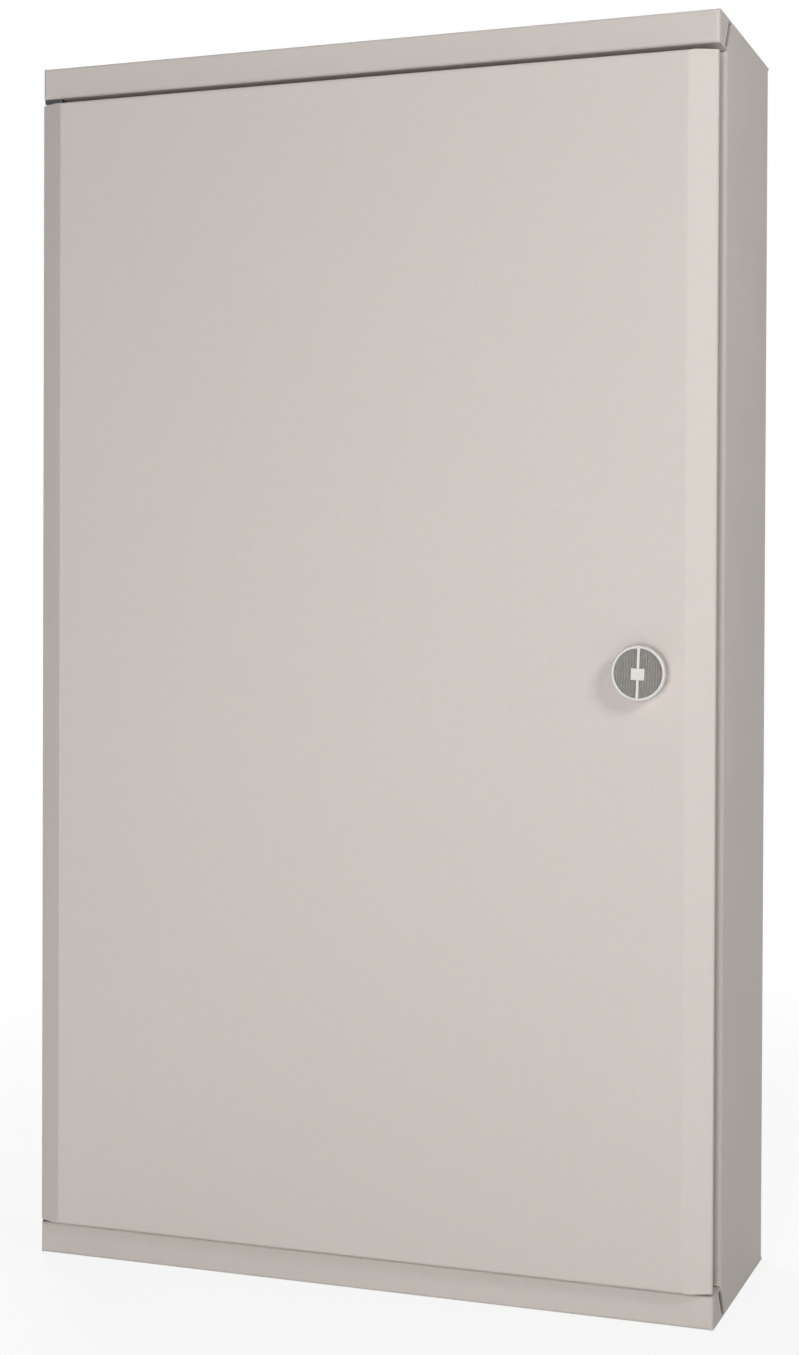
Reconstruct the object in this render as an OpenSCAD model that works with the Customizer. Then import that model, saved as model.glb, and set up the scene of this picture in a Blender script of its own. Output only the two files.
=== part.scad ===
// Steel wall enclosure: a folded cabinet between a top and a bottom cap, a bevelled pan door
// that hangs on two pins, and a quarter-turn lock.
// Millimetres. The wall is the plane y = 0, the front faces -Y, and z = 0 is mid-height.

/* [Cabinet] */
// Overall width
box_w = 450; // [380:10:600]
// Overall height
box_h = 780; // [560:10:1000]
// Depth from the wall to the front of the cap bands
box_d = 154; // [130:1:220]
// Thickness of the cabinet's sheet
sheet = 1.5; // [1.2:0.1:2]
// Inner radius of the bends in the cabinet's shell
bend_r = 1.5; // [1:0.1:2]
// Inner radius of the caps' sharper bends along their bands
band_bend_r = 0.4; // [0.3:0.1:1.5]
// Height of the band that each cap shows at the front
band_h = 20; // [16:1:30]
// How far the slanted seam beside each band runs back over the band's height
seam_run = 12; // [8:1:18]
// Width of the open slit along that seam, at the door
seam_gap = 7.5; // [1:0.5:8]
// Width of the same slit at the end plate
seam_end_gap = 6.5; // [2:0.5:8]
// Distance from the front of the bands back to the ledge
ledge_set = 22; // [22:1:30]
// Width of the ledge down each side
ledge_w = 30; // [28:1:34]
// Height of the ledge along the top and bottom
ledge_h = 25; // [22:1:32]
// Depth of the lip around the mouth
lip = 10; // [8:1:14]

/* [Door] */
// How far the flat of the door stands in front of the bands
door_proud = 7.5; // [5:0.5:10]
// Width of the sloping border down each side
bevel_w = 17; // [12:1:22]
// Gap between the door and the upper band
head_gap = 4.3; // [3.8:0.1:6]
// Gap between the door and the lower band
foot_gap = 2; // [1.8:0.1:4]
// Thickness of the door's sheet
door_sheet = 1.2; // [1:0.1:1.5]
// How far the side flanges lean in over their depth
flange_lean = 4.5; // [3:0.5:4.5]

/* [Lock] */
// Distance of the knob's centre from the door's edge
lock_inset = 43.3; // [43:0.1:60]
// Height of the knob's centre above mid-height
lock_z = -1.1; // [-60:0.1:60]
// Diameter of the knob
knob_d = 33.2; // [33:0.2:40]
// How far the knob stands in front of the door
knob_proud = 9.5; // [9:0.5:12]
// How far the released knob leans clockwise from upright
knob_lean = 2; // [0:0.5:5]
// Reach of the cam from the spindle's centre
cam_reach = 38; // [34:1:39]

/* [Fixing and cable entry] */
// Diameter of the four wall-fixing holes
fix_hole_d = 9; // [7:0.5:11]
// Distance between the wall-fixing holes and the cabinet's edges
fix_inset = 65; // [60:1:80]
// Solid edge left at each end of a cap's cable aperture
gland_side = 55; // [50:1:90]
// Distance between the mounting plate and the cabinet's back
plate_standoff = 12; // [10:1:30]

/* [Hidden] */
$fn = 48;
eps = 0.01;          // overshoot of a cutter past the face it opens
bend_steps = 6;      // flats that stand for one bend

paint = "#cbc4be";
zinc = "#b9bcc0";
brass = "#c2a14d";
rubber = "#2b2b2d";
cream = "#e4dfd6";
dark_plastic = "#6f6b66";
nylon = "#3a3937";

half_w = box_w / 2;
half_h = box_h / 2;
bend_out = bend_r + sheet;

// Cabinet front: bands, ledge and mouth
band_y = -box_d;
ledge_y = band_y + ledge_set;
return_z = half_h - band_h;
mouth_x = half_w - ledge_w;
mouth_z = return_z - ledge_h;
notch_relief = 3;    // corner relief where two lips would meet
corner_r = 2.5;      // outer radius of a band's two front corners
flange = 14;         // depth of the caps' welding flanges

// Door
face_y = band_y - door_proud;
seal_t = 3.6;        // thickness of the door seal
seal_free = 0.4;     // gap that is left for it to close
rear_y = ledge_y - seal_t - seal_free;
head_z = return_z - head_gap;        // distance of the door's top above mid-height
foot_z = return_z - foot_gap;        // distance of its foot below mid-height
door_mid = (head_z - foot_z) / 2;
door_half = (head_z + foot_z) / 2;
flat_x = half_w - bevel_w;
rear_x = half_w - flange_lean;
door_return = 14;    // width of the fold behind the door's edge
fold_r = 2.2;        // outer radius of the door's square folds
crease_r = 3.2;      // outer radius where the sloping border starts

// Hinge: a pin at each end, in line
pin_x = -(half_w - 6.6);
pin_y = band_y + 7.5;
pin_r = 2.5;
pin_play = 0.05;     // radial clearance of the pin in its bush
pin_head_r = 3.2;
bush_r = 4.3;
bush_flange_half = 6.2; // half the width of the bush's square flange
head_bush_t = head_gap - 1.7;        // flange of the upper bush
foot_bush_t = foot_gap / 2;          // flange of the lower bush
bracket_t = 2.5;
clip_t = 0.8;
groove_r = 2;
pin_end = return_z + sheet + 8;

// Lock, in its own frame: z runs outward from the door's face
lock_x = half_w - lock_inset;
knob_r = knob_d / 2;
gasket_t = 1;
bezel_t = 2.2;
bezel_r = knob_r - 3.8;
barrel_r = 11;
barrel_flat = 10;
spindle_r = 5;
spindle_play = 0.05;
spindle_sq = 7;
hub_r = 7;
hub_z = gasket_t + bezel_t + 0.3;    // underside of the knob's hub
insert_z = knob_proud - 2.2;         // where the inserts lie
floor_z = insert_z - 1.5;            // underside of the knob's floor
recess_r = knob_r - 2;
rim_z = knob_proud - 3.6;            // underside of the knob's rim
skirt_z = 0.4;
skirt_t = 0.9;
foot_r = knob_r - 2.6;               // radius of the skirt at the door
socket_w = 5.6;
boss = [8.2, 6.8];
boss_drop = 0.6;                     // the boss sits a little below the centre
web_t = 1.6;
rib_pitch = 1.6;
cam_t = 3;
cam_play = 0.4;      // gap between the latched cam and the keeper
keeper_t = 1.5;
keeper_top = lock_z + 24;
keeper_foot = lock_z - cam_reach - 14;
keeper_x = [mouth_x + 4, mouth_x + 13, half_w - 5];
rivet_x = mouth_x + 7;
rivet_r = 1.6;
ledge_front = face_y - ledge_y;
cam_front = ledge_front - lip - cam_play;
cam_back = cam_front - cam_t;
cam_half_w = 9;
cam_tip_half_w = 7.5;

// Mounting plate
plate_t = 2.5;
plate_fold = 9;
plate_half_w = half_w - 45;
plate_half_z = half_h - 85;
plate_front = -(sheet + plate_standoff + plate_t);
stud_x = plate_half_w - 18;
stud_z = plate_half_z - 20;
stud_r = 4;
stud_end = plate_standoff + 18;

// Gland plates
gland_w = box_w - 2 * gland_side;
gland_d = -ledge_y - 45;
gland_mid = ledge_y / 2 - 1;
gland_margin = [16, 12];             // overlap of the plate at its ends and its sides
gland_t = 2;
gland_seal_t = 3;
gland_under = half_h - sheet - gland_seal_t;
gland_hole_r = 2.75;
nut_r = 4.5;
nut_bore_r = 2.5;
clinch_r = 3.2;
m5_shank_r = 2.4;

// --- Shapes ---

function along(a, b) = (b - a) / norm(b - a);
function left_of(d) = [-d.y, d.x];
function turned(v, a) = [v.x * cos(a) - v.y * sin(a), v.x * sin(a) + v.y * cos(a)];

// Point b moved s to the left of the path a, b, c, so that both edges move by s
function moved(a, b, c, s) =
    let (m = left_of(along(a, b)) + left_of(along(b, c)))
    b + m * (2 * s / (m * m));

// The arc of radius r that rounds corner b of the path a, b, c
function corner(a, b, c, r) =
    let (d0 = along(a, b), d1 = along(b, c))
    let (angle = atan2(cross(d0, d1), d0 * d1))
    let (start = b - d0 * r * tan(abs(angle) / 2))
    let (centre = start + left_of(d0) * (sign(angle) * r))
    [for (i = [0:bend_steps]) centre + turned(start - centre, angle * i / bend_steps)];

function turns_left(a, b, c) = cross(b - a, c - b) > 0;

// One face of a folded sheet: path p moved s to the left, with its bends rounded
function face_of(p, s, r_left, r_right) =
    let (n = len(p) - 1)
    let (q = [for (i = [0:n])
        i == 0 ? p[0] + left_of(along(p[0], p[1])) * s
        : i == n ? p[n] + left_of(along(p[n - 1], p[n])) * s
        : moved(p[i - 1], p[i], p[i + 1], s)])
    [for (i = [0:n]) each
        i == 0 || i == n ? [q[i]]
        : corner(q[i - 1], q[i], q[i + 1], turns_left(p[i - 1], p[i], p[i + 1]) ? r_left : r_right)];

function reversed(p) = [for (i = [len(p) - 1:-1:0]) p[i]];

// Section of a sheet of thickness t folded along p, with the sheet on the left of p
function folded(p, t, r) = concat(face_of(p, 0, r + t, r), reversed(face_of(p, t, r, r + t)));

function wrapped(p, i) = p[(i + len(p)) % len(p)];

// Closed outline p, anticlockwise, moved inward by d
function inset(p, d) = [for (i = [0:len(p) - 1]) moved(wrapped(p, i - 1), p[i], wrapped(p, i + 1), d)];

// Closed outline p with corner i rounded to radius r[i]
function rounded(p, r) =
    [for (i = [0:len(p) - 1]) each corner(wrapped(p, i - 1), p[i], wrapped(p, i + 1), r[i])];

function rectangle(x, y) = [[-x, -y], [x, -y], [x, y], [-x, y]];

// Extrudes a section drawn in y and z along X, from x = -w to x = w
module across(w) rotate([90, 0, 90]) linear_extrude(height = 2 * w, center = true) children();

// Places the local z axis along -Y, out of the wall or out of the door
module facing_front(x, y, z) translate([x, y, z]) rotate([90, 0, 0]) children();

// The same at the lock, with local z = 0 on the door's face
module at_lock() facing_front(lock_x, face_y, lock_z) children();

// The same for what turns with the knob
module at_knob() at_lock() rotate(-knob_lean) children();

module both_ends() {
    children();
    mirror([0, 0, 1]) children();
}

module washer(outer, bore, t) difference() {
    cylinder(r = outer, h = t);
    translate([0, 0, -eps]) cylinder(r = bore, h = t + 2 * eps);
}

// Hex nut with chamfered corners; across_flats is its spanner size
module hex_nut(across_flats, h, bore) difference() {
    intersection() {
        cylinder(r = across_flats / sqrt(3), h = h, $fn = 6);
        cylinder(r1 = across_flats / 2, r2 = across_flats / 2 + h, h = h);
        cylinder(r1 = across_flats / 2 + h, r2 = across_flats / 2, h = h);
    }
    translate([0, 0, -eps]) cylinder(r = bore, h = h + 2 * eps);
}

// Pan-head screw: the head stands on z = 0 and the shank runs down
module pan_screw(shank_r, length, head_r, head_h) {
    slot = [head_r * 1.1, 0.9, head_h];
    translate([0, 0, -length]) cylinder(r = shank_r, h = length + eps);
    difference() {
        rotate_extrude() polygon(concat([[0, 0], [head_r, 0]], [for (a = [0:15:90])
            [head_r - head_h * 0.6 * (1 - cos(a)), head_h * (0.4 + 0.6 * sin(a))]], [[0, head_h]]));
        for (a = [0, 90]) rotate(a) translate([0, 0, head_h]) cube(slot, center = true);
    }
}

// --- Cabinet ---

module body_wrap() color(paint) difference() {
    linear_extrude(height = box_h - 2 * sheet, center = true)
        polygon(folded([
            [mouth_x, ledge_y + lip], [mouth_x, ledge_y], [half_w, ledge_y], [half_w, 0],
            [-half_w, 0], [-half_w, ledge_y], [-mouth_x, ledge_y], [-mouth_x, ledge_y + lip]
        ], sheet, bend_r));
    both_ends() {
        // slanted front corner of each side wall
        across(half_w + 1) polygon([
            [band_y, return_z], [ledge_y, return_z], [ledge_y + seam_run, half_h], [band_y, half_h]
        ]);
        // ledges and lips stop at the cap's inner return
        ledge_cut(half_w - sheet, return_z);
        // lips stop short of the mouth's corners
        ledge_cut(mouth_x + bend_out, mouth_z - notch_relief);
    }
    for (x = [-1, 1], z = [-1, 1])
        facing_front(x * (half_w - fix_inset), 1, z * (half_h - fix_inset))
            cylinder(r = fix_hole_d / 2, h = sheet + 2);
    at_rivets() translate([0, 0, -sheet - 1]) cylinder(r = rivet_r, h = sheet + 2);
}

// Clears the ledge and lip inside |x| < w, from height z up
module ledge_cut(w, z)
    translate([-w, ledge_y - 1, z]) cube([2 * w, lip + 2, half_h - z]);

module cap() {
    band_path = [[0, half_h], [band_y, half_h], [band_y, return_z], [ledge_y - 1, return_z]];
    return_path = [[band_y + bend_out + 4, return_z], [ledge_y, return_z]];
    difference() {
        intersection() {
            union() {
                across(half_w) polygon(folded(band_path, sheet, band_bend_r));
                across(mouth_x + bend_out) polygon(folded(
                    concat(return_path, [[ledge_y, mouth_z + bend_out]]), sheet, bend_r));
                across(mouth_x - notch_relief) polygon(folded(
                    concat(return_path, [[ledge_y, mouth_z], [ledge_y + lip, mouth_z]]), sheet, bend_r));
                side_tab();
                mirror([1, 0, 0]) side_tab();
                welding_flanges();
            }
            translate([0, 0, mouth_z - 1]) linear_extrude(height = box_h)
                polygon(rounded([[-half_w, band_y], [half_w, band_y], [half_w, 0], [-half_w, 0]],
                    [corner_r, corner_r, 0.2, 0.2]));
        }
        translate([0, gland_mid, half_h]) linear_extrude(height = 3 * sheet, center = true)
            gland_aperture();
        at_gland_screws() translate([0, 0, half_h - sheet - 1]) cylinder(r = clinch_r, h = sheet + 2);
        translate([pin_x, pin_y, return_z - 1]) cylinder(r = bush_r, h = sheet + 2);
    }
}

// Tab that closes the end of the band, with the slanted rear edge
module side_tab()
    translate([half_w - sheet / 2, 0, 0]) across(sheet / 2) polygon([
        [band_y, return_z], [ledge_y - seam_gap, return_z],
        [ledge_y + seam_run - seam_end_gap, half_h - eps], [band_y, half_h - eps]
    ]);

// Flanges of the end plate, welded inside the back and the side walls
module welding_flanges() {
    foot = half_h - sheet - flange;
    side_start = ledge_y + seam_run + 6;
    side_length = -side_start - 2 * bend_out;
    back_half_w = half_w - 3 * bend_out;
    for (x = [-(half_w - sheet), half_w - 2 * sheet])
        translate([x, side_start, foot]) cube([sheet, side_length, flange + eps]);
    translate([-back_half_w, -2 * sheet, foot]) cube([2 * back_half_w, sheet, flange + eps]);
}

module top_cap() color(paint) cap();
module bottom_cap() color(paint) mirror([0, 0, 1]) cap();

module at_gland_screws()
    for (x = [-1, 0, 1], y = [-1, 1])
        translate([x * (gland_w + gland_margin.x) / 2, gland_mid + y * (gland_d + gland_margin.y) / 2, 0])
            children();

// Cable aperture in a cap's end plate
module gland_aperture() polygon(rounded(rectangle(gland_w / 2, gland_d / 2), [6, 6, 6, 6]));

// Outline shared by a gland plate and its seal
module gland_outline() polygon(rounded(
    rectangle(gland_w / 2 + gland_margin.x, gland_d / 2 + gland_margin.y), [4, 4, 4, 4]));

module gland_plate() difference() {
    translate([0, gland_mid, gland_under - gland_t]) linear_extrude(height = gland_t) gland_outline();
    at_gland_screws() translate([0, 0, gland_under - gland_t - 1])
        cylinder(r = gland_hole_r, h = gland_t + 2);
}

module gland_seal() difference() {
    translate([0, gland_mid, gland_under]) linear_extrude(height = gland_seal_t) difference() {
        gland_outline();
        gland_aperture();
    }
    at_gland_screws() translate([0, 0, gland_under - 1]) cylinder(r = nut_r + 0.3, h = gland_seal_t + 2);
}

module top_gland_plate() color(zinc) gland_plate();
module bottom_gland_plate() color(zinc) mirror([0, 0, 1]) gland_plate();
module top_gland_seal() color(rubber) gland_seal();
module bottom_gland_seal() color(rubber) mirror([0, 0, 1]) gland_seal();

module gland_clinch_nuts() color(zinc) both_ends() at_gland_screws() translate([0, 0, gland_under])
    difference() {
        union() {
            cylinder(r = nut_r, h = gland_seal_t);
            cylinder(r = clinch_r, h = gland_seal_t + sheet);
        }
        translate([0, 0, -eps]) cylinder(r = nut_bore_r, h = gland_seal_t + sheet + 2 * eps);
    }

module gland_screws() color(zinc) both_ends() at_gland_screws()
    translate([0, 0, gland_under - gland_t]) rotate([180, 0, 0]) pan_screw(m5_shank_r, 6, 4.7, 3);

module at_studs() for (x = [-1, 1], z = [-1, 1]) facing_front(x * stud_x, -sheet, z * stud_z) children();

module mounting_plate() color(zinc) difference() {
    linear_extrude(height = 2 * plate_half_z, center = true) polygon(folded([
        [-plate_half_w, plate_front + plate_fold], [-plate_half_w, plate_front],
        [plate_half_w, plate_front], [plate_half_w, plate_front + plate_fold]
    ], plate_t, bend_r));
    at_studs() translate([0, 0, plate_standoff - 1]) cylinder(r = stud_r + 0.5, h = plate_t + 2);
}

// Welded collar stud: the plate sits on the collar and the thread comes through it
module plate_studs() color(zinc) at_studs() rotate_extrude()
    polygon([[0, 0], [9.5, 0], [9.5, 1.2], [8, 2.2], [8, plate_standoff], [stud_r, plate_standoff],
        [stud_r, stud_end - 1], [stud_r - 0.8, stud_end], [0, stud_end]]);

module plate_washers() color(zinc) at_studs()
    translate([0, 0, plate_standoff + plate_t]) washer(9, 4.3, 1.6);

module plate_nuts() color(zinc) at_studs()
    translate([0, 0, plate_standoff + plate_t + 1.6]) hex_nut(13, 6.5, 4.05);

module at_body_earth() facing_front(-half_w / 2, -sheet, -(half_h - fix_inset)) children();

// Threaded M6 stud with a welded foot
module earth_stud(length) rotate_extrude()
    polygon([[0, 0], [6, 0], [6, 1], [3, 2], [3, length - 1], [2.3, length], [0, length]]);

module body_earth_stud() color(brass) at_body_earth() earth_stud(24);

module body_earth_washers() color(brass) at_body_earth() for (z = [2.2, 9.2])
    translate([0, 0, z]) washer(6.2, 3.2, 1.2);

module body_earth_nuts() color(brass) at_body_earth() for (z = [3.6, 10.6])
    translate([0, 0, z]) hex_nut(10, 5, 3.05);

// Nylon bush with a square flange, pressed into the cap's inner return
module hinge_bush(flange_t) translate([pin_x, pin_y, return_z]) difference() {
    union() {
        translate([0, 0, -flange_t]) linear_extrude(height = flange_t)
            polygon(rounded(rectangle(bush_flange_half, bush_flange_half), [1, 1, 1, 1]));
        cylinder(r = bush_r, h = sheet + 4);
    }
    translate([0, 0, -flange_t - 1]) cylinder(r = pin_r + pin_play, h = flange_t + sheet + 6);
}

module upper_hinge_bush() color(nylon) hinge_bush(head_bush_t);
module lower_hinge_bush() color(nylon) mirror([0, 0, 1]) hinge_bush(foot_bush_t);

// Offset bracket behind the ledge: the cam draws in behind its raised leg, level with the lip,
// and a tab stops the cam when it lies level
module latch_keeper() {
    base_y = ledge_y + sheet;
    wear_y = ledge_y + lip - keeper_t;
    stop_z = lock_z + cam_half_w - 0.4;
    color(zinc) difference() {
        union() {
            translate([0, 0, keeper_foot]) linear_extrude(height = keeper_top - keeper_foot) polygon(folded([
                [keeper_x[0], base_y], [keeper_x[1], base_y], [keeper_x[1], wear_y], [keeper_x[2], wear_y]
            ], keeper_t, 0.8));
            translate([keeper_x[1] + 2, wear_y, stop_z])
                cube([keeper_x[2] - keeper_x[1] - 2, keeper_t + 8, keeper_t]);
        }
        at_rivets() translate([0, 0, -sheet - keeper_t - 1])
            cylinder(r = rivet_r, h = keeper_t + sheet + 2);
    }
}

module at_rivets() for (z = [keeper_foot + 6, keeper_top - 6]) facing_front(rivet_x, ledge_y, z) children();

module keeper_rivets() color(zinc) at_rivets() rotate_extrude() polygon([
    [0, -sheet - keeper_t - 1.1], [2.2, -sheet - keeper_t - 1.1], [2.7, -sheet - keeper_t],
    [rivet_r, -sheet - keeper_t], [rivet_r, 0], [3, 0], [2.4, 0.8], [0, 0.9]
]);

// --- Door ---

// The door as a solid block, d inside its outer surface, from z = -foot to z = top
module door_block(d, top, foot) intersection() {
    linear_extrude(height = 2 * half_h, center = true) polygon(rounded(inset([
        [-rear_x, rear_y], [-half_w, band_y], [-flat_x, face_y],
        [flat_x, face_y], [half_w, band_y], [rear_x, rear_y]
    ], d), [fold_r, fold_r, crease_r, crease_r, fold_r, fold_r] - [d, d, d, d, d, d]));
    across(half_w + 1) polygon(rounded(inset([
        [rear_y, top], [face_y, top], [face_y, -foot], [rear_y, -foot]
    ], d), [fold_r, fold_r, fold_r, fold_r] - [d, d, d, d]));
}

module door_shell() color(paint) difference() {
    door_block(0, head_z, foot_z);
    door_block(door_sheet, head_z, foot_z);
    translate([0, rear_y, door_mid])
        cube([2 * (rear_x - door_return), 4 * door_sheet, 2 * (door_half - door_return)], center = true);
    at_lock() translate([0, 0, -door_sheet - 1]) barrel(door_sheet + 2, 0.1);
    translate([pin_x, pin_y, 0]) cylinder(r = pin_r, h = 2 * half_h, center = true);
}

// Hat-section rail on the inside of the door
module door_stiffener() {
    inside = face_y + door_sheet;
    half_length = door_half - 45;
    color(paint) translate([0, 0, door_mid - half_length]) linear_extrude(height = 2 * half_length)
        polygon(folded([
            [-24, inside], [-12, inside], [-12, inside + 14], [12, inside + 14], [12, inside], [24, inside]
        ], door_sheet, 1));
}

module door_seal() {
    outer = [rear_x - 7.5, door_half - 6];
    inner = [rear_x - door_return, door_half - door_return + 0.5];
    color(rubber) facing_front(0, rear_y + seal_t, door_mid) linear_extrude(height = seal_t)
        difference() {
            polygon(rounded(rectangle(outer.x, outer.y), [5, 5, 5, 5]));
            polygon(rounded(rectangle(inner.x, inner.y), [1, 1, 1, 1]));
        }
}

// Angle bracket under the door's upper end at height end, trimmed to the folds it sits in
module hinge_bracket(end) {
    under = end - door_sheet;
    behind = rear_y - door_sheet;
    difference() {
        intersection() {
            translate([pin_x + 4, 0, 0]) across(10) polygon(folded(
                [[behind, under - 32], [behind, under], [behind - 20, under]], bracket_t, 1.5));
            door_block(door_sheet + eps, end, end);
        }
        translate([pin_x, pin_y, under - 10]) cylinder(r = pin_r, h = 20);
    }
}

module upper_hinge_bracket() color(zinc) hinge_bracket(head_z);
module lower_hinge_bracket() color(zinc) mirror([0, 0, 1]) hinge_bracket(foot_z);

// Loose pin: pushed up from inside the door, and held up by a clip above the door's end
module upper_hinge_pin() {
    head = head_z - door_sheet - bracket_t;
    color(zinc) translate([pin_x, pin_y, 0]) rotate_extrude() polygon([
        [0, head - 3], [pin_head_r - 0.3, head - 3], [pin_head_r, head - 2.6], [pin_head_r, head],
        [pin_r, head], [pin_r, head_z], [groove_r, head_z], [groove_r, head_z + clip_t],
        [pin_r, head_z + clip_t], [pin_r, pin_end - 1], [pin_r - 1, pin_end], [0, pin_end]
    ]);
}

// Fixed pin: its collar carries the door on the lower bush
module lower_hinge_pin() {
    head = foot_z - door_sheet - bracket_t;
    collar_r = 4.2;
    collar_end = return_z - foot_bush_t - 0.3;
    color(zinc) translate([pin_x, pin_y, 0]) mirror([0, 0, 1]) rotate_extrude() polygon([
        [0, head - 1.5], [pin_head_r, head - 1.5], [pin_head_r, head], [pin_r, head],
        [pin_r, foot_z], [collar_r, foot_z], [collar_r, collar_end], [pin_r, collar_end],
        [pin_r, pin_end - 1], [pin_r - 1, pin_end], [0, pin_end]
    ]);
}

// E-clip in the groove of the upper pin
module hinge_pin_clip() color(zinc) translate([pin_x, pin_y, head_z]) difference() {
    cylinder(r = 4.6, h = clip_t);
    translate([0, 0, -1]) cylinder(r = groove_r, h = 3);
    translate([0, -groove_r * 0.9, -1]) cube([8, groove_r * 1.8, 3]);
}

module at_door_earth()
    translate([-(flat_x - 20), face_y + door_sheet, -(foot_z - 45)]) rotate([-90, 0, 0]) children();

module door_earth_stud() color(brass) at_door_earth() earth_stud(15);
module door_earth_washer() color(brass) at_door_earth() translate([0, 0, 2.2]) washer(6.2, 3.2, 1.2);
module door_earth_nut() color(brass) at_door_earth() translate([0, 0, 3.6]) hex_nut(10, 5, 3.05);

// --- Lock ---

// Threaded barrel with two flats, grown by g
module barrel(h, g = 0) intersection() {
    cylinder(r = barrel_r + g, h = h);
    translate([-barrel_r - 1, -barrel_flat - g, 0]) cube([2 * barrel_r + 2, 2 * (barrel_flat + g), h]);
}

module lock_housing() {
    back = cam_front + 14;
    color(zinc) at_lock() difference() {
        union() {
            translate([0, 0, gasket_t]) cylinder(r = bezel_r, h = bezel_t);
            translate([0, 0, back]) barrel(gasket_t - back + 1);
        }
        translate([0, 0, back - 1]) cylinder(r = spindle_r + spindle_play, h = gasket_t + bezel_t - back + 2);
    }
}

module lock_gasket() color(rubber) at_lock() washer(bezel_r - 0.4, barrel_r + 0.2, gasket_t);

module lock_nut() color(zinc) at_lock() translate([0, 0, -door_sheet - 5]) hex_nut(27, 5, barrel_r + 0.02);

// Points of a quarter round of radius r about [x, z], from angle a upwards
function quarter(x, z, r, a) = [for (i = [0:6]) [x + r * cos(a + 15 * i), z + r * sin(a + 15 * i)]];

// Skirted knob: rim, grip web and square boss in one moulding, with a hub for the spindle
module knob_shell() {
    inner_foot_r = foot_r - skirt_t;
    color(cream) at_knob() difference() {
        union() {
            rotate_extrude() polygon(concat(
                [[0, hub_z], [hub_r, hub_z], [hub_r, floor_z], [knob_r - 1.2 - skirt_t, floor_z],
                    [inner_foot_r, skirt_z], [foot_r, skirt_z], [knob_r - 1.2, rim_z - 0.6], [knob_r, rim_z]],
                quarter(knob_r - 0.9, knob_proud - 0.9, 0.9, 0),
                quarter(recess_r + 0.5, knob_proud - 0.5, 0.5, 90),
                [[recess_r, insert_z], [0, insert_z]]));
            translate([-web_t / 2, -recess_r - 0.5, insert_z - eps])
                cube([web_t, 2 * recess_r + 1, knob_proud - 0.1 - insert_z]);
            translate([-boss.x / 2, -boss.y / 2 - boss_drop, insert_z - eps])
                cube([boss.x, boss.y, knob_proud - insert_z]);
        }
        translate([0, 0, (hub_z + knob_proud) / 2 - 1.5])
            cube([socket_w, socket_w, knob_proud - hub_z - 1], center = true);
    }
}

// Ribbed half-moon on each side of the web
module knob_inserts() color(dark_plastic) at_knob() translate([0, 0, insert_z]) difference() {
    intersection() {
        cylinder(r = recess_r - 0.15, h = 3);
        union() {
            translate([-knob_r, -knob_r, 0]) cube([knob_d, knob_d, 0.7]);
            for (x = [-8:8]) translate([x * rib_pitch - rib_pitch / 4, -knob_r, 0])
                cube([rib_pitch / 2, knob_d, 1.2]);
        }
    }
    translate([-web_t / 2 - 0.1, -knob_r, -1]) cube([web_t + 0.2, knob_d, 5]);
    translate([-boss.x / 2 - 0.1, -boss.y / 2 - boss_drop - 0.1, -1]) cube([boss.x + 0.2, boss.y + 0.2, 5]);
}

// Round spindle with a square at each end, one in the knob and one in the cam
module lock_spindle() {
    knob_sq = socket_w - 0.1;
    color(zinc) at_knob() difference() {
        union() {
            translate([-knob_sq / 2, -knob_sq / 2, 0]) cube([knob_sq, knob_sq, knob_proud - 2.2]);
            translate([0, 0, cam_front]) cylinder(r = spindle_r, h = hub_z - 0.1 - cam_front);
            translate([-spindle_sq / 2, -spindle_sq / 2, cam_back + 0.1])
                cube([spindle_sq, spindle_sq, cam_t + 2]);
        }
        translate([0, 0, cam_back]) cylinder(r = nut_bore_r, h = 12);
    }
}

// Flat cam that hangs down when released
module lock_cam() color(zinc) at_knob() translate([0, 0, cam_back]) difference() {
    linear_extrude(height = cam_t) polygon(rounded([
        [-cam_tip_half_w, -cam_reach], [cam_tip_half_w, -cam_reach], [cam_half_w, 10], [-cam_half_w, 10]
    ], [6, 6, 7, 7]));
    cube([spindle_sq + 0.1, spindle_sq + 0.1, 3 * cam_t], center = true);
}

module cam_washer() color(zinc) at_knob() translate([0, 0, cam_back - 1.2]) washer(6.5, 2.7, 1.2);

module cam_screw() color(zinc) at_knob()
    translate([0, 0, cam_back - 1.2]) rotate([180, 0, 0]) pan_screw(m5_shank_r, 10, 4.6, 3);

// --- Nodes ---

body_wrap();
top_cap();
bottom_cap();
top_gland_plate();
bottom_gland_plate();
top_gland_seal();
bottom_gland_seal();
gland_clinch_nuts();
gland_screws();
mounting_plate();
plate_studs();
plate_washers();
plate_nuts();
body_earth_stud();
body_earth_washers();
body_earth_nuts();
upper_hinge_bush();
lower_hinge_bush();
latch_keeper();
keeper_rivets();
door_shell();
door_stiffener();
door_seal();
upper_hinge_bracket();
lower_hinge_bracket();
upper_hinge_pin();
lower_hinge_pin();
hinge_pin_clip();
door_earth_stud();
door_earth_washer();
door_earth_nut();
lock_housing();
lock_gasket();
lock_nut();
knob_shell();
knob_inserts();
lock_spindle();
lock_cam();
cam_washer();
cam_screw();
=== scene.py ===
"""The looks of the steel wall enclosure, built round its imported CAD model.

Metres, in the CAD model's own frame: the wall is the plane y = 0, the front faces -Y, and
z = 0 is mid-height.
"""

import math

import bmesh
import bpy
from mathutils import Matrix, Vector, noise


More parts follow.
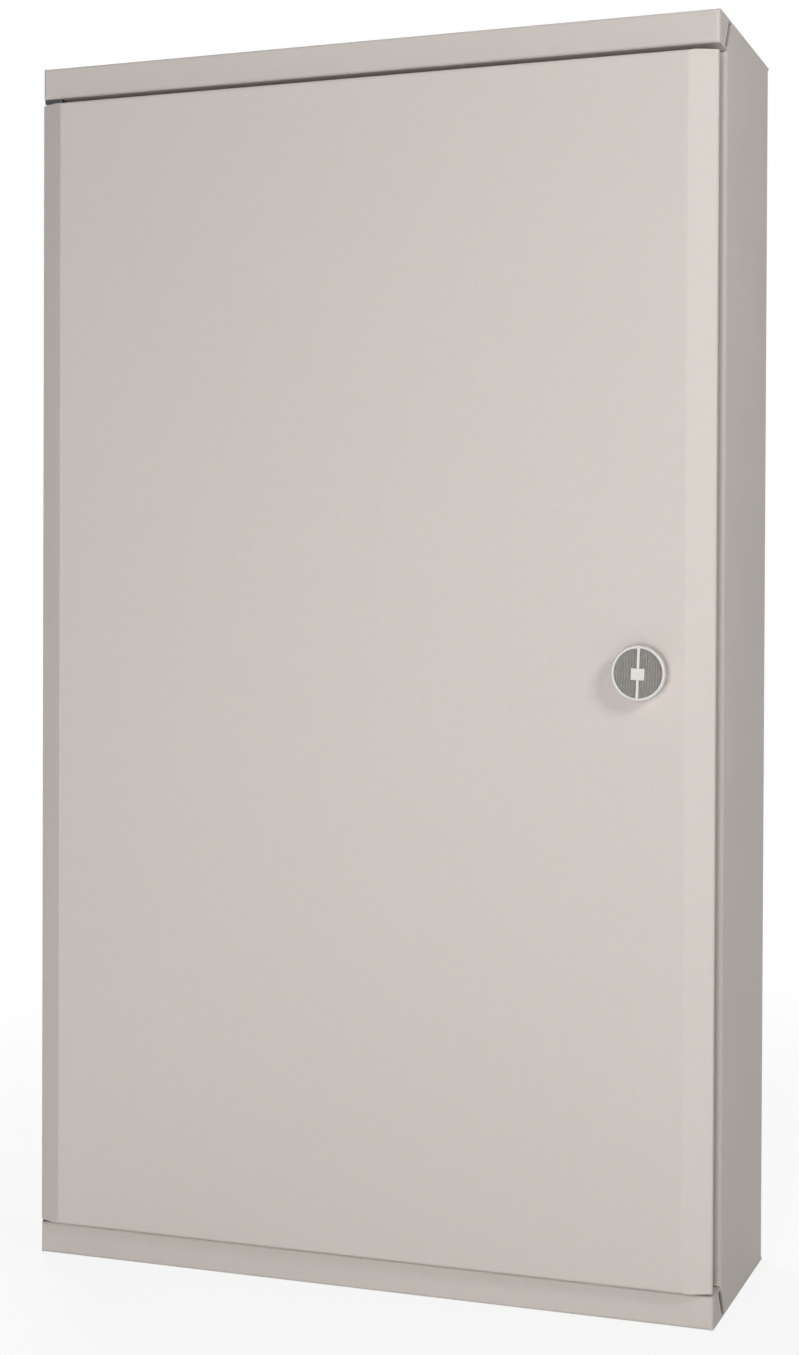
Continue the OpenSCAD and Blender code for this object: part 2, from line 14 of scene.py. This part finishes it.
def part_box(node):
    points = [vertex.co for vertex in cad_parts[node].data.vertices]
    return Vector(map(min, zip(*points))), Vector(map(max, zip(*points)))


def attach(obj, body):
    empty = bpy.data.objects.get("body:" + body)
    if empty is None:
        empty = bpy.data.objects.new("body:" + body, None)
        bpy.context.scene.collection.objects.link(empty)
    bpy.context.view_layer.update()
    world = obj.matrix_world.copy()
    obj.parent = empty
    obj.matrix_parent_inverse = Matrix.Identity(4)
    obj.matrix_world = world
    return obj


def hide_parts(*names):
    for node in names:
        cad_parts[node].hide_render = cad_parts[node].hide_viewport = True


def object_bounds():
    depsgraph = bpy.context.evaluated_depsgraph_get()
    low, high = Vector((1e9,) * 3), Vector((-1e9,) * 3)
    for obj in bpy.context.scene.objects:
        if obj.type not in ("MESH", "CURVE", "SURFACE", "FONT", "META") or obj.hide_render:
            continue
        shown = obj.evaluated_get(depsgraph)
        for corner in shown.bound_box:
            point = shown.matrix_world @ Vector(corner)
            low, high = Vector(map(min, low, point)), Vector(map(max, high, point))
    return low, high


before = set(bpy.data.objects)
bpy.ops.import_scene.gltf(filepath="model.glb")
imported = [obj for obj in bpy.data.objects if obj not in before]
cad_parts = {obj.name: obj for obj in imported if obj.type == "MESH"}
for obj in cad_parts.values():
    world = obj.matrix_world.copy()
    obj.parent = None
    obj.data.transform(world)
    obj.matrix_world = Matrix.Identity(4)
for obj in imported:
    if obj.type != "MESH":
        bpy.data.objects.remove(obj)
CAD_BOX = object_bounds()

MM = 0.001


# --- Shader graphs ---

# most of a noise texture's values lie in this range
NOISE_SPAN = (0.3, 0.7)
# where a colour Mix node keeps its two colours and its result
MIX_COLOURS = slice(6, 8)
MIX_RESULT = 2


class Graph:
    """A shader node tree under construction. Values are passed on as output sockets."""

    def __init__(self, tree):
        self.tree = tree

    def node(self, kind, **settings):
        made = self.tree.nodes.new(kind)
        for key, value in settings.items():
            setattr(made, key, value)
        return made

    def link(self, source, target):
        self.tree.links.new(source, target)

    def maths(self, operation, a, b):
        """The result of a Math node; b may also be a plain number."""
        made = self.node("ShaderNodeMath", operation=operation)
        self.link(a, made.inputs[0])
        if isinstance(b, (int, float)):
            made.inputs[1].default_value = b
        else:
            self.link(b, made.inputs[1])
        return made.outputs[0]

    def ranged(self, value, target=(0, 1), source=NOISE_SPAN, **settings):
        """The value moved from the source range to the target range, and held within it."""
        made = self.node("ShaderNodeMapRange", **settings)
        names = ("From Min", "From Max", "To Min", "To Max")
        for name, number in zip(names, (*source, *target)):
            made.inputs[name].default_value = number
        self.link(value, made.inputs["Value"])
        return made.outputs["Result"]

    def seen_directly(self):
        """1 for camera, glossy and transmission rays; 0 for diffuse rays, which carry the light."""
        path = self.node("ShaderNodeLightPath")
        seen = path.outputs["Is Camera Ray"]
        for ray in ("Is Glossy Ray", "Is Transmission Ray"):
            seen = self.maths("MAXIMUM", seen, path.outputs[ray])
        return seen


class Look(Graph):
    """A procedural material under construction. Its textures lie in the piece's own metres."""

    def __init__(self, name):
        self.material = bpy.data.materials.new(name)
        self.material.use_nodes = True
        super().__init__(self.material.node_tree)
        self.bsdf = self.tree.nodes["Principled BSDF"]
        self.place = self.node("ShaderNodeTexCoord").outputs["Object"]

    def constant(self, socket, value):
        """Sets a socket of the shader itself, such as Metallic."""
        self.bsdf.inputs[socket].default_value = value

    def stretched(self, scale):
        """The place, scaled by a factor for each axis."""
        mapping = self.node("ShaderNodeMapping")
        mapping.inputs["Scale"].default_value = scale
        self.link(self.place, mapping.inputs["Vector"])
        return mapping.outputs[0]

    def distance(self, point):
        """How far the place is from a point."""
        away = self.node("ShaderNodeVectorMath", operation="DISTANCE")
        self.link(self.place, away.inputs[0])
        away.inputs[1].default_value = point
        return away.outputs["Value"]

    def noise(self, scale, detail=2, roughness=0.5, stretch=None):
        """Soft noise; scale is about how many patches there are in a metre."""
        made = self.node("ShaderNodeTexNoise")
        made.inputs["Scale"].default_value = scale
        made.inputs["Detail"].default_value = detail
        made.inputs["Roughness"].default_value = roughness
        self.link(self.stretched(stretch) if stretch else self.place, made.inputs["Vector"])
        return made.outputs["Fac"]

    def cells(self, scale, output="Distance"):
        """Random cells; scale is about how many there are in a metre."""
        made = self.node("ShaderNodeTexVoronoi")
        made.inputs["Scale"].default_value = scale
        self.link(self.place, made.inputs["Vector"])
        return made.outputs[output]

    def mixed(self, share, a, b):
        """Colour a where share is 0 and b where it is 1; a may also be an output socket."""
        made = self.node("ShaderNodeMix", data_type="RGBA")
        self.link(share, made.inputs["Factor"])
        first, second = made.inputs[MIX_COLOURS]
        if isinstance(a, tuple):
            first.default_value = (*a, 1)
        else:
            self.link(a, first)
        second.default_value = (*b, 1)
        return made.outputs[MIX_RESULT]

    def bump(self, height, strength, distance, after=None):
        """The normal bent by a height; after is a coarser bump that this one lies on."""
        made = self.node("ShaderNodeBump")
        made.inputs["Strength"].default_value = strength
        made.inputs["Distance"].default_value = distance
        self.link(height, made.inputs["Height"])
        if after:
            self.link(after, made.inputs["Normal"])
        return made.outputs["Normal"]

    def finish(self, colour, roughness, normal):
        """Links the three to the shader and gives the finished material."""
        self.link(colour, self.bsdf.inputs["Base Color"])
        self.link(roughness, self.bsdf.inputs["Roughness"])
        self.link(normal, self.bsdf.inputs["Normal"])
        return self.material


# --- Camera, stage and light ---

# The camera was solved from the corners of the box in the photo. It stands right of the
# enclosure, just above mid-height. Angles are in degrees, and the lens in millimetres.
CAMERA_AT = (0.4916, -1.4257, 0.0374)
CAMERA_TURN = 20.104
CAMERA_TIP = -0.651
CAMERA_ROLL = -0.227
CAMERA_SHIFT = -0.0337
LENS = 58.01
SENSOR_WIDTH = 36

WORLD_FILL = 0.04

FLOOR_REACH = 8
FLOOR_GAP = 0.5 * MM
FLOOR_COLOUR = (0.86, 0.855, 0.85, 1)
FLOOR_ROUGHNESS = 0.8
# the share of the floor's own shading that is seen under the object, and the distances over
# which it fades into plain white
FLOOR_SHADE = 0.15
FLOOR_FADE = (0.45, 1.3)

MIDDLE = (0, -0.1, 0)
LAMPS = (
    # name, place, the point it faces, side of its square, power in watts
    ("key_softbox", (1.25, -0.9, 0.7), (0.1, -0.1, 0.1), 0.45, 10.2),
    ("front_softbox", (0.15, -2.0, 0), MIDDLE, 0.8, 19.2),
    ("top_softbox", (0.1, 0.3, 2.0), MIDDLE, 1, 12),
    ("rear_softbox", (-1.7, 1.9, 0.8), MIDDLE, 1, 40),
)


def make_camera():
    """The camera, turned left and tipped down a little to face the enclosure."""
    data = bpy.data.cameras.new("camera")
    data.lens = LENS
    data.sensor_width = SENSOR_WIDTH
    data.shift_y = CAMERA_SHIFT
    camera = bpy.data.objects.new("camera", data)
    stand = Matrix.Translation(CAMERA_AT)
    turn = Matrix.Rotation(math.radians(CAMERA_TURN), 4, "Z")
    tip = Matrix.Rotation(math.radians(CAMERA_TIP), 4, "X")
    roll = Matrix.Rotation(math.radians(CAMERA_ROLL), 4, "Y")
    # a new camera looks straight down, and this makes it look along +Y
    level = Matrix.Rotation(math.radians(90), 4, "X")
    camera.matrix_world = stand @ turn @ tip @ roll @ level
    bpy.context.scene.collection.objects.link(camera)
    bpy.context.scene.camera = camera


def area_light(name, at, towards, side, power):
    """A square lamp that the camera doesn't see."""
    data = bpy.data.lights.new(name, "AREA")
    data.shape = "RECTANGLE"
    data.size = side
    data.size_y = side
    data.energy = power
    light = bpy.data.objects.new(name, data)
    light.location = at
    facing = Vector(towards) - Vector(at)
    light.rotation_euler = facing.to_track_quat("-Z", "Y").to_euler()
    light.visible_camera = False
    bpy.context.scene.collection.objects.link(light)


def make_world():
    """White to the eye, and a weak even fill for the lighting."""
    world = bpy.data.worlds.new("studio")
    bpy.context.scene.world = world
    world.use_nodes = True
    graph = Graph(world.node_tree)
    background = graph.tree.nodes["Background"]
    background.inputs["Color"].default_value = (1, 1, 1, 1)
    strength = graph.ranged(graph.seen_directly(), (WORLD_FILL, 1), source=(0, 1))
    graph.link(strength, background.inputs["Strength"])


def floor_look():
    """A pale matt surface that fades into plain white with the distance from the object."""
    look = Look("floor")
    look.constant("Base Color", FLOOR_COLOUR)
    look.constant("Roughness", FLOOR_ROUGHNESS)
    length = look.node("ShaderNodeVectorMath", operation="LENGTH")
    look.link(look.place, length.inputs[0])
    fade = look.ranged(length.outputs["Value"], (1 - FLOOR_SHADE, 1), source=FLOOR_FADE,
                       interpolation_type="SMOOTHSTEP")
    white = look.node("ShaderNodeEmission")
    mix = look.node("ShaderNodeMixShader")
    look.link(look.maths("MULTIPLY", fade, look.seen_directly()), mix.inputs["Fac"])
    look.link(look.bsdf.outputs[0], mix.inputs[1])
    look.link(white.outputs[0], mix.inputs[2])
    look.link(mix.outputs[0], look.tree.nodes["Material Output"].inputs["Surface"])
    return look.material


def make_floor():
    """A wide square floor just under the object."""
    level = CAD_BOX[0].z - FLOOR_GAP
    sides = ((-1, -1), (1, -1), (1, 1), (-1, 1))
    corners = [(x * FLOOR_REACH, y * FLOOR_REACH, level) for x, y in sides]
    mesh = bpy.data.meshes.new("floor")
    mesh.from_pydata(corners, [], [(0, 1, 2, 3)])
    mesh.materials.append(floor_look())
    floor = bpy.data.objects.new("floor", mesh)
    bpy.context.scene.collection.objects.link(floor)


def make_studio():
    """The plain white surroundings and the lamps."""
    bpy.context.scene.view_settings.view_transform = "Standard"
    make_world()
    make_floor()
    for lamp in LAMPS:
        area_light(*lamp)


# --- Materials ---

PAINT = (0.597, 0.552, 0.515)
PAINT_SPECULAR = 0.1
# the caps' coat is darkened by this factor: painted shade on the bands of the caps
CAP_PAINTED_SHADE = 0.96
# hands polish the coat round the lock: the distances over which this fades out, and its strength
HANDLED = (0.02, 0.11)
HAND_POLISH = 0.09


def scaled(colour, factor):
    return tuple(channel * factor for channel in colour)


def lock_on_face():
    """The point of the door's face that lies behind the middle of the knob."""
    low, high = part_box("knob_shell")
    face_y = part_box("door_shell")[0].y
    return Vector(((low.x + high.x) / 2, face_y, (low.z + high.z) / 2))


def dust_nibs(look):
    """The share of the darker colour at the few nibs of dust under the coat."""
    nib_size, dusty_level, share = 0.035, 0.62, 0.4
    nibs = look.maths("LESS_THAN", look.cells(38), nib_size)
    dusty = look.maths("GREATER_THAN", look.noise(9), dusty_level)
    return look.maths("MULTIPLY", look.maths("MULTIPLY", nibs, dusty), share)


def hand_polish(look):
    """How much less rough hands have made the coat, in blotches round the lock."""
    touched = look.ranged(look.distance(lock_on_face()), (1, 0), source=HANDLED)
    blotches = look.ranged(look.noise(26, detail=4), source=(0.42, 0.62))
    return look.maths("MULTIPLY", look.maths("MULTIPLY", touched, blotches), HAND_POLISH)


def paint_look(name, shade):
    """Powder coat: a warm light grey, faintly cloudy and grainy, with orange peel."""
    look = Look(name)
    coat = scaled(PAINT, shade)
    clouds = look.ranged(look.noise(2.1))
    tone = look.mixed(clouds, scaled(coat, 0.985), scaled(coat, 1.015))
    grains = look.ranged(look.noise(240), (0, 0.35))
    tone = look.mixed(grains, tone, scaled(coat, 0.955))
    tone = look.mixed(dust_nibs(look), tone, scaled(coat, 0.6))
    roughness = look.ranged(look.noise(11, detail=5, roughness=0.6), (0.50, 0.58))
    roughness = look.maths("SUBTRACT", roughness, hand_polish(look))
    # the sheet isn't quite flat, and the coat on it isn't quite smooth
    waves = look.bump(look.noise(4.2, detail=1), strength=0.35, distance=1.2 * MM)
    peel = look.bump(look.noise(430, detail=1, roughness=0.4), strength=0.16,
                     distance=0.12 * MM, after=waves)
    look.constant("Specular IOR Level", PAINT_SPECULAR)
    return look.finish(tone, roughness, peel)


def galvanised_look():
    """Hot-dip zinc sheet: crystals of slightly different brightness under a dull bloom."""
    look = Look("galvanised_sheet")
    dark, light, dull = (0.34, 0.355, 0.37), (0.44, 0.455, 0.47), (0.40, 0.40, 0.39)
    crystals = look.node("ShaderNodeSeparateColor")
    look.link(look.cells(95, output="Color"), crystals.inputs[0])
    tone = look.mixed(crystals.outputs[0], dark, light)
    bloom = look.ranged(look.noise(7, detail=5, roughness=0.6), (0, 0.45), source=(0.45, 0.75))
    tone = look.mixed(bloom, tone, dull)
    roughness = look.ranged(crystals.outputs[1], (0.50, 0.66), source=(0, 1))
    look.constant("Metallic", 0.6)
    grain = look.bump(look.noise(300), strength=0.12, distance=0.1 * MM)
    return look.finish(tone, roughness, grain)


def zinc_look():
    """Bright zinc plate: bluish in places and yellowish in others, with a fine grain."""
    look = Look("zinc_plate")
    bluish, yellowish = (0.42, 0.445, 0.48), (0.48, 0.475, 0.45)
    tint = look.ranged(look.noise(60, detail=3), source=(0.35, 0.65))
    tone = look.mixed(tint, bluish, yellowish)
    roughness = look.ranged(look.noise(190, detail=3), (0.30, 0.46))
    look.constant("Metallic", 1)
    grain = look.bump(look.noise(900, detail=1), strength=0.10, distance=0.05 * MM)
    return look.finish(tone, roughness, grain)


def brass_look():
    """Plain brass, browned and duller in patches."""
    look = Look("turned_brass")
    bright, brown = (0.80, 0.61, 0.29), (0.50, 0.35, 0.17)
    patches = look.noise(120, detail=4)
    tone = look.mixed(look.ranged(patches, (0, 0.7), source=(0.45, 0.75)), bright, brown)
    roughness = look.ranged(patches, (0.24, 0.44))
    look.constant("Metallic", 1)
    grain = look.bump(look.noise(800, detail=1), strength=0.10, distance=0.05 * MM)
    return look.finish(tone, roughness, grain)


def foam_look():
    """Poured foam and sheet rubber: near black, dry, with fine pores."""
    look = Look("foam_seal")
    black, grey = (0.016, 0.016, 0.017), (0.042, 0.041, 0.040)
    pores = look.cells(900)
    # the colour is darkest where the bump of the pores sinks in: painted shade in the pits
    tone = look.mixed(look.ranged(pores, source=(0.1, 0.6)), black, grey)
    roughness = look.ranged(look.noise(150), (0.78, 0.92))
    return look.finish(tone, roughness, look.bump(pores, strength=0.5, distance=0.12 * MM))


def nylon_look():
    """Black nylon: waxy and faintly cloudy."""
    look = Look("nylon")
    black, grey = (0.030, 0.030, 0.029), (0.046, 0.045, 0.043)
    clouds = look.noise(170, detail=3)
    tone = look.mixed(look.ranged(clouds), black, grey)
    roughness = look.ranged(clouds, (0.38, 0.52))
    grain = look.bump(look.noise(700), strength=0.08, distance=0.05 * MM)
    return look.finish(tone, roughness, grain)


def knob_look():
    """The knob's pale moulded plastic, with a soft sheen and faint flow marks."""
    look = Look("knob_plastic")
    cream, pale_cream = (0.55, 0.535, 0.508), (0.59, 0.575, 0.547)
    flow = look.ranged(look.noise(110, detail=3, stretch=(1, 1, 0.35)))
    tone = look.mixed(flow, cream, pale_cream)
    roughness = look.ranged(look.noise(300, detail=3), (0.26, 0.40))
    grain = look.bump(look.noise(1500, detail=1), strength=0.08, distance=0.03 * MM)
    return look.finish(tone, roughness, grain)


def insert_look():
    """Matt dark plastic of the knob's half-moons, dusty in patches."""
    look = Look("insert_plastic")
    grey, dusty_grey = (0.215, 0.205, 0.190), (0.275, 0.262, 0.245)
    dust = look.noise(260, detail=4)
    tone = look.mixed(look.ranged(dust, source=(0.4, 0.75)), grey, dusty_grey)
    roughness = look.ranged(dust, (0.55, 0.72))
    grain = look.bump(look.noise(1800, detail=1), strength=0.25, distance=0.04 * MM)
    return look.finish(tone, roughness, grain)


# by the record's material slots
LOOKS = {
    "paint": paint_look("powder_coat", 1),
    "galvanised": galvanised_look(),
    "zinc": zinc_look(),
    "brass": brass_look(),
    "seal": foam_look(),
    "nylon": nylon_look(),
    "knob": knob_look(),
    "insert": insert_look(),
}
# the caps' coat is a shade darker than the door's: painted shade, which stands in for the bands
# getting less light than the door
CAP_COAT_PAINTED_SHADE = paint_look("powder_coat_caps_painted_shade", CAP_PAINTED_SHADE)


# --- Finish of the CAD nodes ---

# points of the mesh that lie closer than this are merged
WELD_DISTANCE = 0.002 * MM
# edges that turn by less than this are the steps of a bend, and are shaded smooth
BEND_STEP = math.radians(32)


def smooth_bends_group():
    """Geometry nodes that close the mesh and shade smoothly across the steps of its bends."""
    group = bpy.data.node_groups.new("smooth_bends", "GeometryNodeTree")
    for way in ("INPUT", "OUTPUT"):
        group.interface.new_socket("Geometry", in_out=way, socket_type="NodeSocketGeometry")
    nodes, links = group.nodes, group.links
    plain = nodes.new("GeometryNodeRemoveAttribute")
    plain.inputs["Name"].default_value = "custom_normal"
    weld = nodes.new("GeometryNodeMergeByDistance")
    weld.inputs["Distance"].default_value = WELD_DISTANCE
    faces = nodes.new("GeometryNodeSetShadeSmooth")
    edges = nodes.new("GeometryNodeSetShadeSmooth")
    edges.domain = "EDGE"
    angle = nodes.new("GeometryNodeInputMeshEdgeAngle")
    shallow = nodes.new("FunctionNodeCompare")
    shallow.operation = "LESS_THAN"
    shallow.inputs["B"].default_value = BEND_STEP
    links.new(angle.outputs["Unsigned Angle"], shallow.inputs["A"])
    links.new(shallow.outputs["Result"], edges.inputs["Shade Smooth"])
    flow = nodes.new("NodeGroupInput").outputs[0]
    for step in (plain, weld, faces, edges):
        links.new(flow, step.inputs[0])
        flow = step.outputs[0]
    links.new(flow, nodes.new("NodeGroupOutput").inputs[0])
    return group


def dress_nodes():
    """Gives every CAD node the look of its material slot, and soft bends."""
    group = smooth_bends_group()
    for name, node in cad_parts.items():
        for slot in node.material_slots:
            look = LOOKS[slot.material.name.split(".")[0]]
            # the caps get the darker copy of the coat, painted shade on their bands
            slot.material = CAP_COAT_PAINTED_SHADE if name.endswith("_cap") else look
        node.modifiers.new("smooth_bends", "NODES").node_group = group
        weighted = node.modifiers.new("weighted", "WEIGHTED_NORMAL")
        weighted.keep_sharp = True


# --- Pieces in mesh code ---

# radius and pitch of the threads
M8 = (4 * MM, 1.25 * MM)
M6 = (3 * MM, 1 * MM)
# the depth of a thread's groove, as a share of the pitch
GROOVE_DEPTH = 0.58
# the widths of its flat crest and of its flank, as shares of half the pitch
CREST_FLAT = 0.12
FLANK = 0.76
TIP_CHAMFER = 0.8 * MM
# from the top of a stud's foot to the first ring of its thread
THREAD_LIFT = 0.05 * MM

SEAL_WIDTH = 6.5 * MM
# the bead lies this share of its width inside the plain solid, on each side
SEAL_INSET = 0.02
# the crest's height as a share of the full one, how far it changes, and how quickly
CREST_MEAN = 0.955
CREST_SWING = 0.045
CREST_SCALE = 55
# how far the bead wanders aside, how quickly, and a shift that keeps it apart from the crest
WANDER = 0.25 * MM
WANDER_SCALE = 35
WANDER_SHIFT = Vector((3, 1, 2))
# the bead's section, as shares of its width and of its height
DOME = [(0, 0), (0.02, 0.40), (0.10, 0.70), (0.24, 0.90), (0.40, 0.985), (0.5, 1),
        (0.60, 0.985), (0.76, 0.90), (0.90, 0.70), (0.98, 0.40), (1, 0)]

# how finely round forms are made
ROD_SEGMENTS = 32
RINGS_A_PITCH = 8
SPOT_SEGMENTS = 24
CORNER_STEPS = 8


def angles_round(segments):
    """Angles in even steps round a circle."""
    return [2 * math.pi * i / segments for i in range(segments)]


def lathe_point(angle, radius, height):
    """A point at a radius from the local z axis."""
    return Vector((radius * math.cos(angle), radius * math.sin(angle), height))


def lathe_rings(profile, angles):
    """The rings of a turned solid, whose profile is a row of (radius, height)."""
    return [[lathe_point(angle, *corner) for angle in angles] for corner in profile]


def placed(rings, place):
    """The rings, moved by the matrix place."""
    return [[place @ point for point in ring] for ring in rings]


def join_rings(bm, rings, closed=False):
    """Skins a row of rings; closed joins the last to the first instead of capping both ends."""
    verts = [[bm.verts.new(point) for point in ring] for ring in rings]
    pairs = list(zip(verts, verts[1:]))
    if closed:
        pairs.append((verts[-1], verts[0]))
    for lower, upper in pairs:
        for i in range(len(lower)):
            j = (i + 1) % len(lower)
            bm.faces.new((lower[i], lower[j], upper[j], upper[i]))
    if not closed:
        bm.faces.new(reversed(verts[0]))
        bm.faces.new(verts[-1])


def thread_rings(start, length, thread, angles):
    """The rings of a screw thread that runs from start up to a chamfered tip at length."""
    radius, pitch = thread
    rings = []
    for k in range(int((length - start) / pitch * RINGS_A_PITCH) + 1):
        height = start + k * pitch / RINGS_A_PITCH
        runout = min(1, (height - start) / pitch)
        chamfer = max(0, height - (length - TIP_CHAMFER))
        ring = []
        for angle in angles:
            # 0 in the middle of the crest and 1 in the middle of the groove
            off_crest = abs(2 * ((height / pitch - angle / (2 * math.pi)) % 1) - 1)
            share = min(1, max(0, (off_crest - CREST_FLAT) / FLANK))
            groove = GROOVE_DEPTH * pitch * runout * share
            ring.append(lathe_point(angle, min(radius - groove, radius - chamfer), height))
        rings.append(ring)
    return rings


def threaded_rod(bm, place, foot, thread, length):
    """A stud: the foot's profile, then the thread up to the tip."""
    angles = angles_round(ROD_SEGMENTS)
    start = foot[-1][1] + THREAD_LIFT
    rings = lathe_rings(foot, angles) + thread_rings(start, length, thread, angles)
    join_rings(bm, placed(rings, place))


def finished_piece(name, bm, slot, body, node=None, crease=35):
    """Makes the mesh an object that rides on its body and, where a node is named, stands for it.

    Edges that turn by more than crease, in degrees, stay sharp.
    """
    bmesh.ops.recalc_face_normals(bm, faces=bm.faces)
    for face in bm.faces:
        face.smooth = True
    for edge in bm.edges:
        edge.smooth = edge.calc_face_angle(0) < math.radians(crease)
    mesh = bpy.data.meshes.new(name)
    bm.to_mesh(mesh)
    bm.free()
    mesh.materials.append(LOOKS[slot])
    piece = bpy.data.objects.new(name, mesh)
    bpy.context.scene.collection.objects.link(piece)
    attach(piece, body)
    if node:
        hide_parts(node)


def towards_front(x, y, z):
    """Local z runs along -Y, out of the wall."""
    return Matrix.Translation((x, y, z)) @ Matrix.Rotation(math.radians(90), 4, "X")


def towards_wall(x, y, z):
    """Local z runs along +Y, to the wall."""
    return Matrix.Translation((x, y, z)) @ Matrix.Rotation(math.radians(-90), 4, "X")


def make_plate_studs():
    """Four M8 weld studs with the spacer foot that the mounting plate stands on."""
    low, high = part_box("plate_studs")
    foot_r, foot_top = 9.5 * MM, 1.2 * MM
    spacer_r, spacer_root, spacer_top = 8 * MM, 2.2 * MM, 12 * MM
    neck_r = 3.6 * MM
    foot = [(foot_r, 0), (foot_r, foot_top), (spacer_r, spacer_root),
            (spacer_r, spacer_top), (neck_r, spacer_top)]
    bm = bmesh.new()
    for x in (low.x + foot_r, high.x - foot_r):
        for z in (low.z + foot_r, high.z - foot_r):
            threaded_rod(bm, towards_front(x, high.y, z), foot, M8, high.y - low.y)
    finished_piece("threaded_plate_studs", bm, "zinc", "cabinet", "plate_studs")


def make_earth_stud(node, body, outward):
    """An M6 earth stud on its welded foot; outward is towards_front or towards_wall."""
    low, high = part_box(node)
    foot_r, foot_top = (high.x - low.x) / 2, 1 * MM
    rod_r, rod_root = M6[0], 2 * MM
    neck_r, neck_top = 2.7 * MM, 2.1 * MM
    foot = [(foot_r, 0), (foot_r, foot_top), (rod_r, rod_root), (neck_r, neck_top)]
    root = high.y if outward is towards_front else low.y
    place = outward((low.x + high.x) / 2, root, (low.z + high.z) / 2)
    bm = bmesh.new()
    threaded_rod(bm, place, foot, M6, high.y - low.y)
    finished_piece("threaded_" + node, bm, "brass", body, node)


def rounded_path(half_x, half_z, radius, step):
    """Points round a rectangle with round corners, each with its outward direction."""
    path = []
    signs = [(1, 1), (-1, 1), (-1, -1), (1, -1)]
    centres = [Vector((x * (half_x - radius), z * (half_z - radius))) for x, z in signs]
    for corner, centre in enumerate(centres):
        for k in range(CORNER_STEPS + 1):
            angle = math.radians(90 * corner + 90 * k / CORNER_STEPS)
            outward = Vector((math.cos(angle), math.sin(angle)))
            path.append((centre + outward * radius, outward))
        # then the straight side, up to where the next corner's round starts
        here = centre + outward * radius
        ahead = centres[(corner + 1) % 4] + outward * radius
        count = int((ahead - here).length / step)
        path += [(here.lerp(ahead, k / count), outward) for k in range(1, count)]
    return path


def bead_section(point, outward, height):
    """The seal's section at a point of its path, as places in the path's plane with heights."""
    along = Vector((point.x, 0, point.y))
    crest = height * (CREST_MEAN + CREST_SWING * noise.noise(along * CREST_SCALE))
    aside = WANDER * noise.noise(along * WANDER_SCALE + WANDER_SHIFT)
    section = []
    for across, rise in DOME:
        # the foot of the bead stays straight
        inward = SEAL_WIDTH * across * (1 - 2 * SEAL_INSET)
        inward = inward + (aside if rise > 0 else 0) + SEAL_INSET * SEAL_WIDTH
        section.append((point - outward * inward, crest * rise))
    return section


def make_door_seal():
    """The door's poured foam seal: a domed bead whose crest and sides wander a little."""
    low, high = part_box("door_seal")
    centre = (low + high) / 2
    corner_radius, step = 8 * MM, 7 * MM
    rings = []
    for point, outward in rounded_path(high.x - centre.x, high.z - centre.z, corner_radius, step):
        section = bead_section(point, outward, high.y - low.y)
        rings.append([Vector((centre.x + place.x, low.y + rise, centre.z + place.y))
                      for place, rise in section])
    bm = bmesh.new()
    join_rings(bm, rings, closed=True)
    finished_piece("foam_door_seal", bm, "seal", "door", "door_seal", crease=60)


def make_weld_spots():
    """Shallow craters under the paint, where spot welds hold the stiffener to the door."""
    low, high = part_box("door_stiffener")
    sheet, flange = 1.2 * MM, 12 * MM
    pitch, margin = 62 * MM, 22 * MM
    # radius and height in millimetres, from just under the surface of the sheet
    crater = [(3.1, -0.05), (3.1, 0.02), (2.6, 0.16), (2.1, 0.14), (1.7, 0.05), (0.6, 0.02)]
    rings = lathe_rings([(r * MM, h * MM) for r, h in crater], angles_round(SPOT_SEGMENTS))
    run = high.z - low.z - 2 * margin
    count = round(run / pitch)
    bm = bmesh.new()
    for x in (low.x + flange / 2, high.x - flange / 2):
        for k in range(count + 1):
            z = low.z + margin + run * k / count
            join_rings(bm, placed(rings, towards_wall(x, low.y + sheet, z)))
    finished_piece("stiffener_spot_welds", bm, "paint", "door")


make_camera()
make_studio()
dress_nodes()
make_plate_studs()
make_earth_stud("body_earth_stud", "cabinet", towards_front)
make_earth_stud("door_earth_stud", "door", towards_wall)
make_door_seal()
make_weld_spots()
